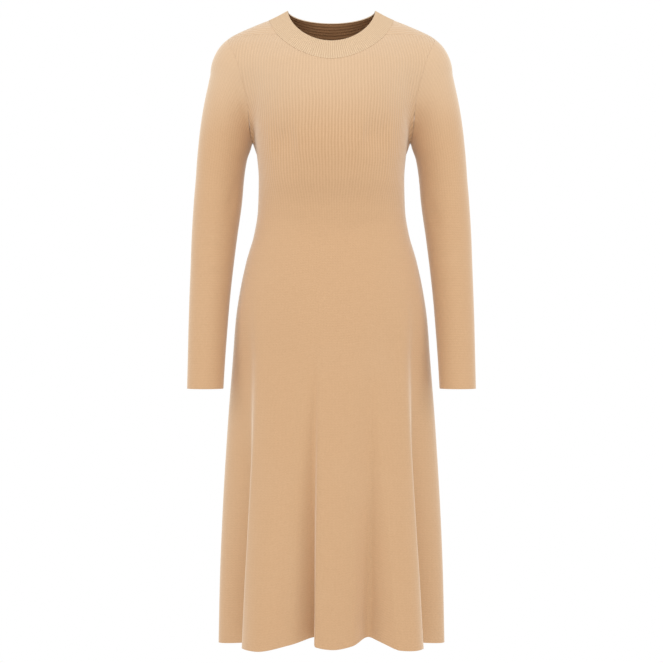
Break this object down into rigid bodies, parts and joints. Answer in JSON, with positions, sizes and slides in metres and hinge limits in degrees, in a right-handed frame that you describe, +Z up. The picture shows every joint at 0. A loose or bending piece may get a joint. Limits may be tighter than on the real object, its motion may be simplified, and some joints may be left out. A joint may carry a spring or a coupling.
{
  "type": "sweater dress",
  "caption": "Long-sleeved fine-knit midi dress with a ribbed crew neckband, gently shaped waist and fluted hem, hollow as if worn with nobody in it.",
  "frame": {"origin": "middle of the neck opening, 3 mm below the top of the neckband at the shoulders, which is what the dress hangs from", "axes": "+Z up from hem to neck, -Y the way the wearer faces, +X toward the wearer's left sleeve"},
  "size_m": [0.516, 0.3204, 1.1396],
  "materials": {
    "front": "camel fine knit, matt",
    "back": "camel fine knit, matt",
    "sleeve_left": "camel fine knit, matt",
    "sleeve_right": "camel fine knit, matt",
    "neckband": "lighter camel rib knit, matt"
  },
  "bodies": {
    "root": {"front": "front", "back": "back", "sleeve_left": "sleeve_left", "sleeve_right": "sleeve_right", "neckband": "neckband"}
  },
  "joints": []
}
